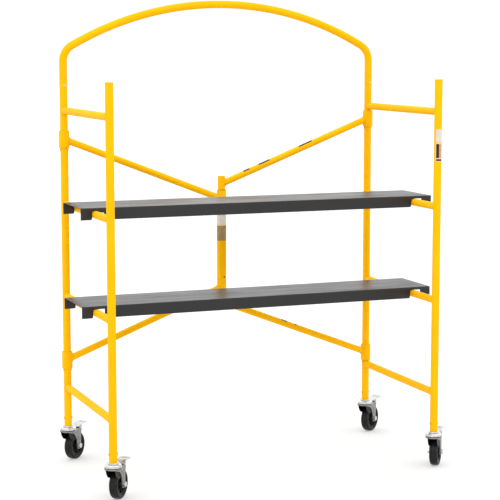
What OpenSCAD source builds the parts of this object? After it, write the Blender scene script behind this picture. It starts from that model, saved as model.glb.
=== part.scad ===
// Rolling folding frame scaffold section: two welded end frames, a folding back brace,
// two lift-off decks, a plug-in guardrail and four braked swivel casters.
// Millimetres, +Z up, origin on the floor under the middle of the bounding box.
// X runs along the decks, +Y points from the front posts to the back posts.

/* [Frame] */
// Distance between the two end frames, post axis to post axis
bay = 1300; // [1000:10:1800]
// Depth of an end frame, front post axis to back post axis
depth = 620; // [500:10:800]
// Length of a post
post_len = 1364; // [1300:1:1700]
// Outside diameter of a post
post_od = 30; // [28:0.5:38]
// Wall of a post
post_wall = 2; // [1.5:0.1:3]
// Wall left round the reamed socket in the top of a post
socket_wall = 1.4; // [1:0.1:1.4]
// Depth of the reamed socket
socket_len = 60; // [50:1:90]
// Outside diameter of a rung
rung_od = 28; // [22:0.5:30]
// Wall of a rung
rung_wall = 1.8; // [1.2:0.1:3]
// Height of the lowest rung above the bottom of the posts
first_rung = 153; // [120:1:170]
// Distance of the highest rung below the top of a post
top_rung_drop = 122; // [100:1:200]

/* [Back brace] */
// Outside diameter of a diagonal
brace_od = 26; // [20:0.5:30]
// Wall of a diagonal
brace_wall = 1.8; // [1.2:0.1:3]
// Rise of a diagonal from collar to centre hinge
brace_rise = 254; // [200:1:300]
// Height of the left upper diagonal at the centre hinge, above the third rung
upper_meet = -2; // [-30:1:10]
// Height of the left lower diagonal at the centre hinge, above the second rung
lower_meet = 1; // [-30:1:30]
// How far the right diagonals lie outside the left ones, along the hinge
brace_step = 60; // [50:1:80]
// Outside diameter of the centre hinge tube
hinge_od = 30; // [26:0.5:34]
// Wall of the centre hinge tube
hinge_wall = 2; // [1.5:0.1:3]
// Wall of the sleeve on the hinge tube
sleeve_wall = 3.7; // [2:0.1:6]
// Wall of a collar round a back post
collar_wall = 5.2; // [3:0.1:8]
// Height of a collar
collar_h = 67; // [50:1:80]

/* [Decks] */
// How far a deck reaches past the posts' axes at each end
deck_over = 65; // [50:1:120]
// Width of a deck
deck_w = 246; // [200:1:400]
// Depth of a deck's flange
deck_h = 44; // [40:1:60]
// Sheet thickness of a deck
deck_t = 2; // [1.2:0.1:4]
// Strip of flange left above a notch, with the sheet
seat_strip = 10.7; // [8:0.1:14]
// Play of a rung along the deck in its notch
notch_play = 16; // [13:0.5:20]

/* [Guardrail] */
// How much wider the guardrail tube is than a post
rail_over = 0; // [-4:0.5:4]
// Wall of the guardrail tube
rail_wall = 2; // [1.5:0.1:3]
// Radius of the long arch, on the tube's axis
arch_r = 1250; // [1100:10:2000]
// Radius of the two corner bends
corner_r = 70; // [50:1:120]
// Straight length of a guardrail leg above its post
leg_len = 67; // [40:1:120]
// Length of a spigot inside its post
spigot_len = 48; // [40:1:55]
// Length of a spigot held inside the guardrail leg
spigot_grip = 60; // [40:1:65]
// Distance of the lock button below the top of the post
button_drop = 26; // [18:1:32]
// Radius of a lock button
button_r = 4; // [3:0.1:5]

/* [Casters] */
// Wheel diameter
wheel_d = 110; // [90:1:125]
// Tyre width
tyre_w = 32; // [25:1:40]
// Height of a caster's head and fork above its wheel
caster_head = 36; // [35:1:60]
// Offset of the axle from the swivel axis
trail = 45; // [35:1:50]
// Length of a caster stem inside its post
stem_len = 70; // [50:1:90]
// Direction in which the front left caster trails, in degrees from +X
trail_front_left = 50; // [0:1:90]
// Direction in which the back left caster trails
trail_back_left = 43; // [0:1:90]
// Direction in which the front right caster trails
trail_front_right = 52; // [0:1:90]
// Direction in which the back right caster trails
trail_back_right = 38; // [0:1:90]
// Reach of the brake pedal from the swivel axis
pedal_reach = 118; // [105:1:130]
// Width of the brake pedal's foot plate
pedal_w = 42; // [30:1:50]
// How far the brake pedal tips when it is pressed, in degrees
pedal_tip = 16; // [10:1:20]

/* [Hidden] */
$fn = 48;

// clearances
run_gap = 0.3; // between pieces that turn or slide on each other
pin_gap = 0.1; // round a pin that stays put
weld_gap = 0.1; // between the ends of welded tubes and what they are coped to
through = 1; // how far a cutter runs past the face it cuts

// frame
post_r = post_od / 2;
bore_r = post_r - post_wall;
socket_r = post_r - socket_wall;
rung_r = rung_od / 2;
rung_pitch = (post_len - first_rung - top_rung_drop) / 3;
caster_h = wheel_d + caster_head;
left_x = -bay / 2;
right_x = bay / 2;
post_foot = caster_h;
post_top = post_foot + post_len;
rung_z = [for (i = [0:3]) post_foot + first_rung + i * rung_pitch];
rivet_r = 3;
rivet_head_r = 5.5;
rivet_head_h = 2.6;
rivet_dome_r = (pow(rivet_head_r, 2) + pow(rivet_head_h, 2)) / (2 * rivet_head_h) + 0.4;
stem_rivet_up = 30; // height of a stem's rivet above the bottom of its post

// back brace
hinge_r = hinge_od / 2;
sleeve_r = hinge_r + run_gap + sleeve_wall;
collar_r = post_r + run_gap + collar_wall;
brace_r = brace_od / 2;
half_bay = bay / 2;
meet_left = [rung_z[2] + upper_meet, rung_z[1] + lower_meet];
meet_right = [meet_left[0] + brace_step, meet_left[1] - brace_step];
sleeve_over = 35; // sleeve beyond the diagonals that it carries
hinge_over = 32; // hinge tube beyond the diagonals that it carries
sleeve_z = [meet_left[1] - sleeve_over, meet_left[0] + sleeve_over];
hinge_z = [meet_right[1] - hinge_over, meet_right[0] + hinge_over];
brace_len = norm([half_bay, brace_rise]);
brace_tilt = atan2(brace_rise, half_bay);
ring_h = 4; // stop ring at each end of the sleeve

// decks
deck_len = bay + 2 * deck_over;
notch_w = rung_od + notch_play;
deck_slack = notch_play / 2;
deck_shift = deck_slack - run_gap;
deck_mid_y = depth / 2;
deck_top_upper = rung_z[2] + rung_r + run_gap + seat_strip;
deck_top_lower = rung_z[1] + rung_r + run_gap + seat_strip;
deck_left = deck_shift - deck_len / 2;
deck_right = deck_shift + deck_len / 2;
notch_lead = 4; // chamfer at the mouth of a notch

// guardrail
rail_od = post_od + rail_over; // the legs stand on the rims of the back posts
rail_r = rail_od / 2;
bend_thin = 0.05; // a corner bend's wall is this much thinner on each face
bend_lap = 1; // how far the legs and the arch run over the corner bends
corner_x = half_bay - corner_r;
corner_z = post_top + leg_len;
arch_turn = asin(corner_x / (arch_r - corner_r)); // half angle of the long arch
arch_z = corner_z - (arch_r - corner_r) * cos(arch_turn);
spigot_r = bore_r - 0.5;
spigot_wall = 2;
spigot_collar = 8; // full width of a spigot before it tapers
spigot_nose_r = spigot_r - 4;
spigot_hold_r = rail_r - rail_wall - pin_gap;
button_z = post_top - button_drop;
button_proud = 2; // how far a button stands out of the post
button_travel = 5; // how far a button goes in when it is pressed

// casters
wheel_r = wheel_d / 2;
axle_r = 5;
axle_z = wheel_r;
fork_gap = tyre_w / 2 + 3; // half the clear width between the fork's legs
leg_t = 3;
fork_half = fork_gap + leg_t;
crown_t = 6;
crown_top = caster_h - 20;
crown_z = crown_top - crown_t;
head_r = 33;
ball_r = 3.2;
ball_ring_r = 24;
ball_count = 16;
ball_z = crown_top + ball_r + run_gap;
cup_z = ball_z + ball_r + run_gap;
cup_r = 31;
skirt_t = 2;
stem_r = bore_r - run_gap;
flange_r = 21;
flange_t = 3;
kingpin_r = 5.5;
kingpin_head_r = 10;
boss_r = 13;
pedal_x = trail + 13;
pedal_z = crown_top + 1;
pedal_barrel_r = 5;
pedal_pin_r = 3;
pedal_t = 2.5;
foot_len = 38; // length of the brake pedal's foot plate
foot_z = crown_top + 13;
shoe_turn = 18; // where the brake shoe meets the tyre, in degrees from the top
hub_r = wheel_r - 15;
hub_half = fork_gap - run_gap;
hub_core_r = 13;
stems = [[left_x, 0, trail_front_left], [left_x, depth, trail_back_left],
    [right_x, 0, trail_front_right], [right_x, depth, trail_back_right]];

// the bounding box on the floor, so that the origin lies under its middle
function pedal_corner(s, side) = [
    s[0] + pedal_reach * cos(s[2]) - side * pedal_w / 2 * sin(s[2]),
    s[1] + pedal_reach * sin(s[2]) + side * pedal_w / 2 * cos(s[2])];
corners = [for (s = stems, side = [-1, 1]) pedal_corner(s, side)];
low_x = min(deck_left, left_x - head_r);
high_x = max(max([for (c = corners) c[0]]), deck_right);
low_y = -head_r;
high_y = max(max([for (c = corners) c[1]]), depth + head_r);
origin_x = (low_x + high_x) / 2;
origin_y = (low_y + high_y) / 2;

module place() {
    translate([-origin_x, -origin_y, 0]) children();
}

// a plain tube along +Z from the floor of its own frame
module tube(r, wall, len) {
    difference() {
        cylinder(r = r, h = len);
        translate([0, 0, -through]) cylinder(r = r - wall, h = len + 2 * through);
    }
}

// a bar along Y, centred on the given point
module bar_y(r, half) {
    rotate([90, 0, 0]) cylinder(r = r, h = 2 * half, center = true);
}

// ---------- end frames ----------

// A post: open tube with a reamed socket at its top and holes for its rivets.
// stop_z lists the heights of the collar stop rivets.
module post(x, y, stop_z, locked) {
    color("gold")
    place() translate([x, y, 0])
    difference() {
        translate([0, 0, post_foot]) tube(post_r, post_wall, post_len);
        translate([0, 0, post_top - socket_len]) cylinder(r = socket_r, h = socket_len + through);
        for (z = concat([post_foot + stem_rivet_up], stop_z))
            translate([0, 0, z]) rotate([0, 90, 0])
                cylinder(r = rivet_r + pin_gap, h = post_od + 2 * through, center = true, $fn = 24);
        if (locked)
            translate([0, -post_r, button_z]) bar_y(button_r + run_gap, post_wall + 2);
    }
}

// A rung between the two posts of one end frame, coped to the round of the posts.
module rung(x, z) {
    color("gold")
    place()
    difference() {
        translate([x, 0, z]) rotate([-90, 0, 0]) tube(rung_r, rung_wall, depth);
        for (y = [0, depth])
            translate([x, y, z - rung_od]) cylinder(r = post_r + weld_gap, h = 2 * rung_od);
    }
}

// A round-headed rivet across a post, along X.
module rivet() {
    rotate([0, 90, 0]) cylinder(r = rivet_r, h = post_od + 0.4, center = true, $fn = 24);
    for (side = [-1, 1])
        rotate([0, side * 90, 0]) translate([0, 0, post_r + 0.1])
            intersection() {
                cylinder(r = rivet_head_r, h = rivet_head_h, $fn = 24);
                translate([0, 0, rivet_head_h - rivet_dome_r])
                    sphere(r = rivet_dome_r, $fn = 32);
            }
}

module rivets(x, stop_z) {
    color("silver")
    place() {
        for (y = [0, depth])
            translate([x, y, post_foot + stem_rivet_up]) rivet();
        for (z = stop_z)
            translate([x, depth, z]) rivet();
    }
}

// ---------- folding back brace ----------

collar_left_z = [meet_left[0] + brace_rise, meet_left[1] - brace_rise];
collar_right_z = [meet_right[0] + brace_rise, meet_right[1] - brace_rise];
function stop_below(z) = z - collar_h / 2 - run_gap - rivet_head_r;

module collar(x, z) {
    color("gold")
    place() translate([x, depth, z - collar_h / 2])
    difference() {
        cylinder(r = collar_r, h = collar_h);
        translate([0, 0, -through]) cylinder(r = post_r + run_gap, h = collar_h + 2 * through);
    }
}

// A diagonal from a collar at x to the centre hinge. It ends on both in a cope.
module diagonal(x, z_collar, z_centre, centre_r) {
    lean = z_centre > z_collar ? 1 : -1;
    side = x < 0 ? 1 : -1;
    reach = 2 * collar_r;
    color("gold")
    place() translate([0, depth, 0])
    difference() {
        translate([x, 0, z_collar]) rotate([0, side * (90 - lean * brace_tilt), 0])
            difference() {
                cylinder(r = brace_r, h = brace_len);
                translate([0, 0, -through])
                    cylinder(r = brace_r - brace_wall, h = brace_len + 2 * through);
            }
        translate([x, 0, z_collar - collar_h])
            cylinder(r = collar_r + weld_gap, h = 2 * collar_h);
        translate([0, 0, z_centre - collar_h])
            cylinder(r = centre_r + weld_gap, h = 2 * collar_h);
        // nothing of a diagonal reaches past the axes that it joins
        translate([side > 0 ? 0 : -reach, -reach, z_centre - collar_h])
            cube([reach, 2 * reach, 2 * collar_h]);
        translate([x - (side > 0 ? reach : 0), -reach, z_collar - collar_h])
            cube([reach, 2 * reach, 2 * collar_h]);
    }
}

module brace_sleeve() {
    color("gold")
    place() translate([0, depth, sleeve_z[0]])
    difference() {
        cylinder(r = sleeve_r, h = sleeve_z[1] - sleeve_z[0]);
        translate([0, 0, -through])
            cylinder(r = hinge_r + run_gap, h = sleeve_z[1] - sleeve_z[0] + 2 * through);
    }
}

module brace_hinge_tube() {
    color("gold")
    place() translate([0, depth, hinge_z[0]]) tube(hinge_r, hinge_wall, hinge_z[1] - hinge_z[0]);
}

// Two steel stop rings that keep the sleeve from sliding along the hinge tube.
module hinge_rings() {
    color("silver")
    place() translate([0, depth, 0])
    for (z = [sleeve_z[0] - run_gap - ring_h, sleeve_z[1] + run_gap])
        translate([0, 0, z])
        difference() {
            cylinder(r = hinge_r + 2.5, h = ring_h);
            translate([0, 0, -through]) cylinder(r = hinge_r + pin_gap, h = ring_h + 2 * through);
        }
}

// ---------- decks ----------

// The side outline of a flange: full depth, with a notch over each rung.
module flange_outline() {
    notch_h = deck_h - seat_strip;
    difference() {
        translate([-deck_len / 2, -deck_h]) square([deck_len, deck_h]);
        for (x = [-half_bay, half_bay])
            translate([x, -deck_h]) {
                translate([-notch_w / 2, -through]) square([notch_w, notch_h + through]);
                polygon([[-notch_w / 2 - notch_lead, -through], [notch_w / 2 + notch_lead, -through],
                    [notch_w / 2, notch_lead], [-notch_w / 2, notch_lead]]);
            }
    }
}

module deck(z_top) {
    color([0.25, 0.25, 0.27])
    place() translate([deck_shift, deck_mid_y, z_top]) {
        translate([-deck_len / 2, -deck_w / 2, -deck_t]) cube([deck_len, deck_w, deck_t]);
        for (side = [-1, 1])
            translate([0, side * (deck_w / 2 - deck_t / 2) + deck_t / 2, 0])
                rotate([90, 0, 0]) linear_extrude(deck_t) flange_outline();
    }
}

// ---------- guardrail ----------

// A bent stretch of the guardrail: a ring swept round an arc of the X-Z plane.
module rail_bend(centre, bend_r, from, turn, thin) {
    translate([centre[0], 0, centre[1]]) rotate([90, 0, 0]) rotate([0, 0, from])
        rotate_extrude(angle = turn, $fn = 288) translate([bend_r, 0])
        difference() {
            circle(r = rail_r - thin, $fn = 48);
            circle(r = rail_r - rail_wall + thin, $fn = 48);
        }
}

// A bent tube: two legs, two corner bends and one long arch, all tangent.
// The legs and the arch run a little way over the ends of the thinner corner bends.
module guardrail() {
    corner_turn = 90 - arch_turn;
    lap_turn = bend_lap / arch_r * 180 / PI;
    color("gold")
    place() translate([0, depth, 0]) {
        for (side = [-1, 1])
            translate([side * half_bay, 0, post_top]) tube(rail_r, rail_wall, leg_len + bend_lap);
        rail_bend([corner_x, corner_z], corner_r, 0, corner_turn, bend_thin);
        rail_bend([-corner_x, corner_z], corner_r, 180 - corner_turn, corner_turn, bend_thin);
        rail_bend([0, arch_z], arch_r, corner_turn - lap_turn, 2 * (arch_turn + lap_turn), 0);
    }
}

// Tapered plugs, pressed into the legs, that drop into the tops of the back posts.
module guardrail_spigots() {
    color("silver")
    place()
    for (side = [-1, 1])
        translate([side * half_bay, depth, post_top])
        difference() {
            rotate_extrude() polygon([[0, spigot_grip], [spigot_hold_r, spigot_grip],
                [spigot_hold_r, 0.2], [spigot_r, 0.2], [spigot_r, -spigot_collar],
                [spigot_nose_r, -spigot_len], [0, -spigot_len]]);
            translate([0, 0, -spigot_len - through])
                cylinder(r = spigot_nose_r - spigot_wall, h = spigot_len + spigot_grip + 2 * through);
            translate([0, -spigot_r, -button_drop]) bar_y(button_r + run_gap, spigot_r);
        }
}

// Leaf springs inside the spigots, behind the lock buttons.
module snap_springs() {
    leaf_w = 7;
    leaf_t = 0.8;
    tail = spigot_nose_r - spigot_wall - 1.2;
    color("silver")
    place()
    for (side = [-1, 1])
        translate([side * half_bay - leaf_w / 2, depth, post_top - button_drop])
        rotate([90, 0, 90]) linear_extrude(leaf_w)
        polygon([[0, -14], [leaf_t, -14], [leaf_t, 8], [tail, 22], [tail, 40],
            [tail - leaf_t, 40], [tail - leaf_t, 22.4], [0, 8.4]]);
}

// A lock button: a round-nosed plug whose inner end stops short of the leaf when pressed.
module snap_button(side) {
    nose = post_r + button_proud;
    inner = button_travel + run_gap;
    color("silver")
    place() translate([side * half_bay, depth, button_z])
    rotate([90, 0, 0])
    rotate_extrude($fn = 32)
    polygon(concat([[0, inner], [button_r - 0.6, inner], [button_r, inner + 0.6]],
        [for (a = [0:15:90]) [button_r - 1.5 + 1.5 * cos(a), nose - 1.5 + 1.5 * sin(a)]],
        [[0, nose]]));
}

// ---------- casters ----------

module at_stem(s) {
    place() translate([s[0], s[1], 0]) children();
}

module at_fork(s) {
    at_stem(s) rotate([0, 0, s[2]]) children();
}

// Plug in the post, its flange, the upper ball cup and the riveted kingpin, turned as one.
module caster_stem(s) {
    color("silver")
    at_stem(s)
    difference() {
        rotate_extrude()
        polygon([[0, crown_z - 4.6], [kingpin_head_r - 1.5, crown_z - 4.6], [kingpin_head_r, crown_z - 3],
            [kingpin_head_r, crown_z - run_gap], [kingpin_r, crown_z - run_gap], [kingpin_r, cup_z],
            [cup_r - skirt_t, cup_z], [cup_r - skirt_t, crown_top + run_gap + 0.8],
            [cup_r, crown_top + run_gap + 0.8], [cup_r, cup_z + 1], [cup_r - 3, cup_z + 4],
            [flange_r + 3, cup_z + 5.5], [flange_r, caster_h - flange_t], [flange_r, caster_h - 0.6],
            [flange_r - 0.6, caster_h], [stem_r, caster_h], [stem_r, caster_h + stem_len - 3],
            [stem_r - 3, caster_h + stem_len], [0, caster_h + stem_len]]);
        translate([0, 0, post_foot + stem_rivet_up]) rotate([0, 90, 0])
            cylinder(r = rivet_r + pin_gap, h = post_od, center = true, $fn = 24);
    }
}

module swivel_balls(pair) {
    color("silver")
    for (s = pair)
        at_stem(s)
        for (i = [0:ball_count - 1])
            rotate([0, 0, i * 360 / ball_count]) translate([ball_ring_r, 0, ball_z])
                sphere(r = ball_r, $fn = 24);
}

// Side outline of a fork leg, x along the trail and y up.
module leg_outline() {
    difference() {
        union() {
            polygon([[-head_r + 8, crown_z], [-head_r + 6, crown_top - 1], [pedal_x, crown_top - 1],
                [trail + boss_r, axle_z], [trail - boss_r, axle_z], [trail - boss_r - 4, axle_z + 14]]);
            translate([trail, axle_z]) circle(r = boss_r);
            translate([pedal_x, pedal_z]) circle(r = 8);
        }
        translate([trail, axle_z]) circle(r = axle_r + pin_gap);
        translate([pedal_x, pedal_z]) circle(r = pedal_pin_r + pin_gap);
    }
}

module caster_fork(s) {
    color("silver")
    at_fork(s) {
        difference() {
            union() {
                translate([0, 0, crown_z]) cylinder(r = head_r, h = crown_t);
                translate([0, -fork_half, crown_z])
                    cube([trail - 4, 2 * fork_half, crown_t - 1]);
            }
            translate([0, 0, crown_z - through])
                cylinder(r = kingpin_r + run_gap, h = crown_t + 2 * through);
            // race groove for the balls
            translate([0, 0, ball_z])
                rotate_extrude() translate([ball_ring_r, 0]) circle(r = ball_r + run_gap);
        }
        for (side = [-1, 1])
            translate([0, side * (fork_gap + leg_t / 2) + leg_t / 2, 0])
                rotate([90, 0, 0]) linear_extrude(leg_t) leg_outline();
    }
}

// Axle bolt, its nut, and the pin of the brake pedal.
module caster_pins(s) {
    color("silver")
    at_fork(s) {
        translate([trail, 0, axle_z]) {
            bar_y(axle_r, fork_half + 1);
            translate([0, -fork_half - 3.1, 0]) rotate([90, 0, 0])
                cylinder(r = 9.5, h = 6, center = true, $fn = 6);
            translate([0, -fork_half - 0.8, 0]) bar_y(axle_r, 3);
        }
        translate([trail, fork_half + 3.1, axle_z]) rotate([90, 0, 0])
            difference() {
                cylinder(r = 9.5, h = 6, center = true, $fn = 6);
                cylinder(r = axle_r + pin_gap, h = 8, center = true);
            }
        translate([trail, fork_half + 3, axle_z]) bar_y(axle_r, 4.4);
        translate([pedal_x, 0, pedal_z]) {
            bar_y(pedal_pin_r, fork_half + 0.4);
            for (side = [-1, 1])
                translate([0, side * (fork_half + 1.1), 0]) bar_y(5, 1);
        }
    }
}

// Half outline of the tyre: radius against width, with round shoulders.
module caster_tyre(s) {
    shoulder = 9;
    half = tyre_w / 2;
    color([0.08, 0.08, 0.08])
    at_fork(s)
    translate([trail, 0, axle_z]) rotate([90, 0, 0])
    rotate_extrude($fn = 96)
    polygon(concat([[hub_r + pin_gap, -half + 3], [hub_r + 4, -half]],
        [for (a = [-90:15:0]) [wheel_r - shoulder + shoulder * cos(a), -half + shoulder + shoulder * sin(a)]],
        [for (a = [0:15:90]) [wheel_r - shoulder + shoulder * cos(a), half - shoulder + shoulder * sin(a)]],
        [[hub_r + 4, half], [hub_r + pin_gap, half - 3]]));
}

module caster_hub(s) {
    web = 5;
    rim_t = 5;
    half = tyre_w / 2 - 3;
    color([0.12, 0.12, 0.12])
    at_fork(s)
    translate([trail, 0, axle_z]) rotate([90, 0, 0])
    rotate_extrude($fn = 96)
    polygon([[axle_r + 0.2, -hub_half], [hub_core_r - 1, -hub_half], [hub_core_r, -hub_half + 1],
        [hub_core_r + 3, -web], [hub_r - rim_t - 2, -web], [hub_r - rim_t, -half], [hub_r, -half],
        [hub_r, half], [hub_r - rim_t, half], [hub_r - rim_t - 2, web], [hub_core_r + 3, web],
        [hub_core_r, hub_half - 1], [hub_core_r - 1, hub_half], [axle_r + 0.2, hub_half]]);
}

// where the brake shoe's tip lies when the pedal is pressed, and at rest
shoe_down = [trail + (wheel_r + 0.5) * sin(shoe_turn) - pedal_x,
    axle_z + (wheel_r + 0.5) * cos(shoe_turn) - pedal_z];
shoe_up = [shoe_down[0] * cos(pedal_tip) - shoe_down[1] * sin(pedal_tip),
    shoe_down[0] * sin(pedal_tip) + shoe_down[1] * cos(pedal_tip)];

// Bent sheet pedal on a barrel, with a foot plate behind and a shoe over the tyre.
module brake_pedal(s) {
    half = fork_gap - run_gap;
    rise = foot_z - pedal_z;
    foot_x = pedal_reach - foot_len - pedal_x;
    color("gainsboro")
    at_fork(s) translate([pedal_x, 0, pedal_z]) {
        difference() {
            union() {
                bar_y(pedal_barrel_r, half);
                translate([0, half, 0]) rotate([90, 0, 0]) linear_extrude(2 * half)
                    polygon([[0, pedal_barrel_r - pedal_t], [foot_x, rise - pedal_t],
                        [foot_x + 2, rise - pedal_t], [foot_x + 2, rise], [foot_x - 1, rise],
                        [0, pedal_barrel_r]]);
                translate([0, half, 0]) rotate([90, 0, 0]) linear_extrude(2 * half)
                    polygon([[0, -2], [3, 0], [shoe_up[0] + 3, shoe_up[1] + 3],
                        [shoe_up[0] + 2.4, shoe_up[1] + 0.6], [shoe_up[0], shoe_up[1]], [-1, -4]]);
            }
            bar_y(pedal_pin_r + 0.2, half + through);
        }
        translate([foot_x, -pedal_w / 2, rise - pedal_t])
            cube([foot_len, pedal_w, pedal_t]);
    }
}

stops_left = [for (z = collar_left_z) stop_below(z)];
stops_right = [for (z = collar_right_z) stop_below(z)];
pair_left = [stems[0], stems[1]];
pair_right = [stems[2], stems[3]];

post(left_x, 0, [], false);  // post_front_left
post(left_x, depth, stops_left, true);  // post_back_left
post(right_x, 0, [], false);  // post_front_right
post(right_x, depth, stops_right, true);  // post_back_right
rung(left_x, rung_z[3]);  // rung_left_top
rung(left_x, rung_z[2]);  // rung_left_upper
rung(left_x, rung_z[1]);  // rung_left_lower
rung(left_x, rung_z[0]);  // rung_left_bottom
rung(right_x, rung_z[3]);  // rung_right_top
rung(right_x, rung_z[2]);  // rung_right_upper
rung(right_x, rung_z[1]);  // rung_right_lower
rung(right_x, rung_z[0]);  // rung_right_bottom
rivets(left_x, stops_left);  // rivets_left
rivets(right_x, stops_right);  // rivets_right
brace_sleeve();
diagonal(left_x, collar_left_z[0], meet_left[0], sleeve_r);  // brace_left_upper
diagonal(left_x, collar_left_z[1], meet_left[1], sleeve_r);  // brace_left_lower
collar(left_x, collar_left_z[0]);  // collar_left_upper
collar(left_x, collar_left_z[1]);  // collar_left_lower
brace_hinge_tube();
diagonal(right_x, collar_right_z[0], meet_right[0], hinge_r);  // brace_right_upper
diagonal(right_x, collar_right_z[1], meet_right[1], hinge_r);  // brace_right_lower
collar(right_x, collar_right_z[0]);  // collar_right_upper
collar(right_x, collar_right_z[1]);  // collar_right_lower
hinge_rings();
deck(deck_top_upper);  // deck_upper
deck(deck_top_lower);  // deck_lower
guardrail();
guardrail_spigots();
snap_springs();
snap_button(-1);  // snap_button_left
snap_button(1);  // snap_button_right
caster_stem(stems[0]);  // caster_stem_front_left
caster_fork(stems[0]);  // caster_fork_front_left
caster_pins(stems[0]);  // caster_pins_front_left
caster_tyre(stems[0]);  // caster_tyre_front_left
caster_hub(stems[0]);  // caster_hub_front_left
brake_pedal(stems[0]);  // brake_pedal_front_left
caster_stem(stems[1]);  // caster_stem_back_left
caster_fork(stems[1]);  // caster_fork_back_left
caster_pins(stems[1]);  // caster_pins_back_left
caster_tyre(stems[1]);  // caster_tyre_back_left
caster_hub(stems[1]);  // caster_hub_back_left
brake_pedal(stems[1]);  // brake_pedal_back_left
caster_stem(stems[2]);  // caster_stem_front_right
caster_fork(stems[2]);  // caster_fork_front_right
caster_pins(stems[2]);  // caster_pins_front_right
caster_tyre(stems[2]);  // caster_tyre_front_right
caster_hub(stems[2]);  // caster_hub_front_right
brake_pedal(stems[2]);  // brake_pedal_front_right
caster_stem(stems[3]);  // caster_stem_back_right
caster_fork(stems[3]);  // caster_fork_back_right
caster_pins(stems[3]);  // caster_pins_back_right
caster_tyre(stems[3]);  // caster_tyre_back_right
caster_hub(stems[3]);  // caster_hub_back_right
brake_pedal(stems[3]);  // brake_pedal_back_right
swivel_balls(pair_left);  // swivel_balls_left
swivel_balls(pair_right);  // swivel_balls_right
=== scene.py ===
"""Looks of a rolling, folding frame scaffold section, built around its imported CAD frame.

Metres, +Z up, X along the decks, +Y from the front posts to the back posts. Every place comes from
the frame's own boxes. Sizes that a box cannot give are named below, in millimetres.
"""

import math

import bmesh
import bpy
from mathutils import Matrix, Vector


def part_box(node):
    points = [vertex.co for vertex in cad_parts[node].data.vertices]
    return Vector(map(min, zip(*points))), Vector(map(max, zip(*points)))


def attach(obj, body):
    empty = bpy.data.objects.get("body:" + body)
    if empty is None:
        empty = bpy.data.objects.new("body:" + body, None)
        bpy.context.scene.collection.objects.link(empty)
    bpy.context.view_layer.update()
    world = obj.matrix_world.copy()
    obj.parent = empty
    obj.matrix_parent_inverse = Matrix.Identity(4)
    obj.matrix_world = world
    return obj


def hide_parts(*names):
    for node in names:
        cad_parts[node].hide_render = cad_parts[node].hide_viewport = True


MM = 0.001

# Sizes of the object that its boxes do not give
CORNER_R = 70 * MM  # the guardrail's corner bends, on the axis
ARCH_R = 1250 * MM  # the guardrail's long arch, on the axis
LEG_LEN = 67 * MM  # straight foot of the guardrail
TUBE_WALL = 2 * MM
SOCKET_R = 13.6 * MM  # reamed top of a post
SOCKET_LEN = 60 * MM
BRACE_RISE = 254 * MM  # rise of a diagonal from its collar to the centre hinge
BRACE_R = 13 * MM
DECK_SHEET = 2 * MM
SEAT_STRIP = 10.7 * MM  # flange left above a notch
NOTCH_W = 44 * MM
NOTCH_LEAD = 4 * MM  # chamfer at a notch's mouth
SLEEVE_BORE = 15.3 * MM  # bore radius of the sleeve and the collars
HINGE_BORE = 13 * MM  # bore radius of the hinge tube
PLUG_Z = 706 * MM  # height of the black plug in the sleeve
PLUG_TURN = math.radians(-76)  # the way it faces, round the sleeve

# Places in a caster's own frame
TRAIL = 45 * MM  # axle's offset from the swivel axis
AXLE_Z = 55 * MM
PEDAL_PIN_X = 58 * MM
PEDAL_PIN_Z = 127 * MM

ENDS = ("front_left", "back_left", "front_right", "back_right")
RUNGS = ("top", "upper", "lower", "bottom")


# ---------- the frame, the camera and the light ----------

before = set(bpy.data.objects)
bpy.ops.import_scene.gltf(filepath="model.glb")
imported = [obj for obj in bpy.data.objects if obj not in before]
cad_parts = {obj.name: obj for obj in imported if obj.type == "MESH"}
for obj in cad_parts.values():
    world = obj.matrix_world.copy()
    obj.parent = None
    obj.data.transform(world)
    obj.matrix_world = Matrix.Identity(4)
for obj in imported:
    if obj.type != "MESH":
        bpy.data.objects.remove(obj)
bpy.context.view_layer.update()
scene = bpy.context.scene


def centre(node):
    """The middle of a node's box."""
    low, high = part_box(node)
    return (low + high) / 2


def tube_radius(node):
    """Outer radius of an upright tube, from its box."""
    low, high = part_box(node)
    return (high.x - low.x) / 2


def make_camera():
    """The main view, through a long lens."""
    camera = bpy.data.objects.new("camera", bpy.data.cameras.new("camera"))
    camera.data.sensor_width = 36
    camera.data.lens = 116.39
    camera.location = (-2.2943, -5.8191, 1.6445)
    pitch, yaw = math.radians(7.2743), math.radians(21.4336)
    camera.rotation_euler = (math.pi / 2 - pitch, 0, -yaw)
    scene.collection.objects.link(camera)
    scene.camera = camera


def make_floor():
    """A wide pale floor that runs out to the horizon."""
    bm = bmesh.new()
    bmesh.ops.create_circle(bm, cap_ends=True, segments=96, radius=60)
    mesh = bpy.data.meshes.new("floor")
    bm.to_mesh(mesh)
    bm.free()
    floor = bpy.data.objects.new("floor", mesh)
    material = bpy.data.materials.new("floor_paper")
    material.use_nodes = True
    shader = material.node_tree.nodes["Principled BSDF"]
    shader.inputs["Base Color"].default_value = (0.50, 0.50, 0.50, 1)
    shader.inputs["Roughness"].default_value = 0.9
    shader.inputs["Specular IOR Level"].default_value = 0.1
    shader.inputs["Emission Color"].default_value = (1, 1, 1, 1)
    shader.inputs["Emission Strength"].default_value = 0.32
    mesh.materials.append(material)
    scene.collection.objects.link(floor)


def area_light(name, place, aim, size, power):
    """A soft box at a place, turned towards its aim."""
    light = bpy.data.lights.new(name, "AREA")
    light.shape = "RECTANGLE"
    light.size, light.size_y = size
    light.energy = power
    obj = bpy.data.objects.new(name, light)
    obj.location = place
    obj.rotation_euler = (Vector(aim) - Vector(place)).to_track_quat("-Z", "Y").to_euler()
    scene.collection.objects.link(obj)


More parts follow.
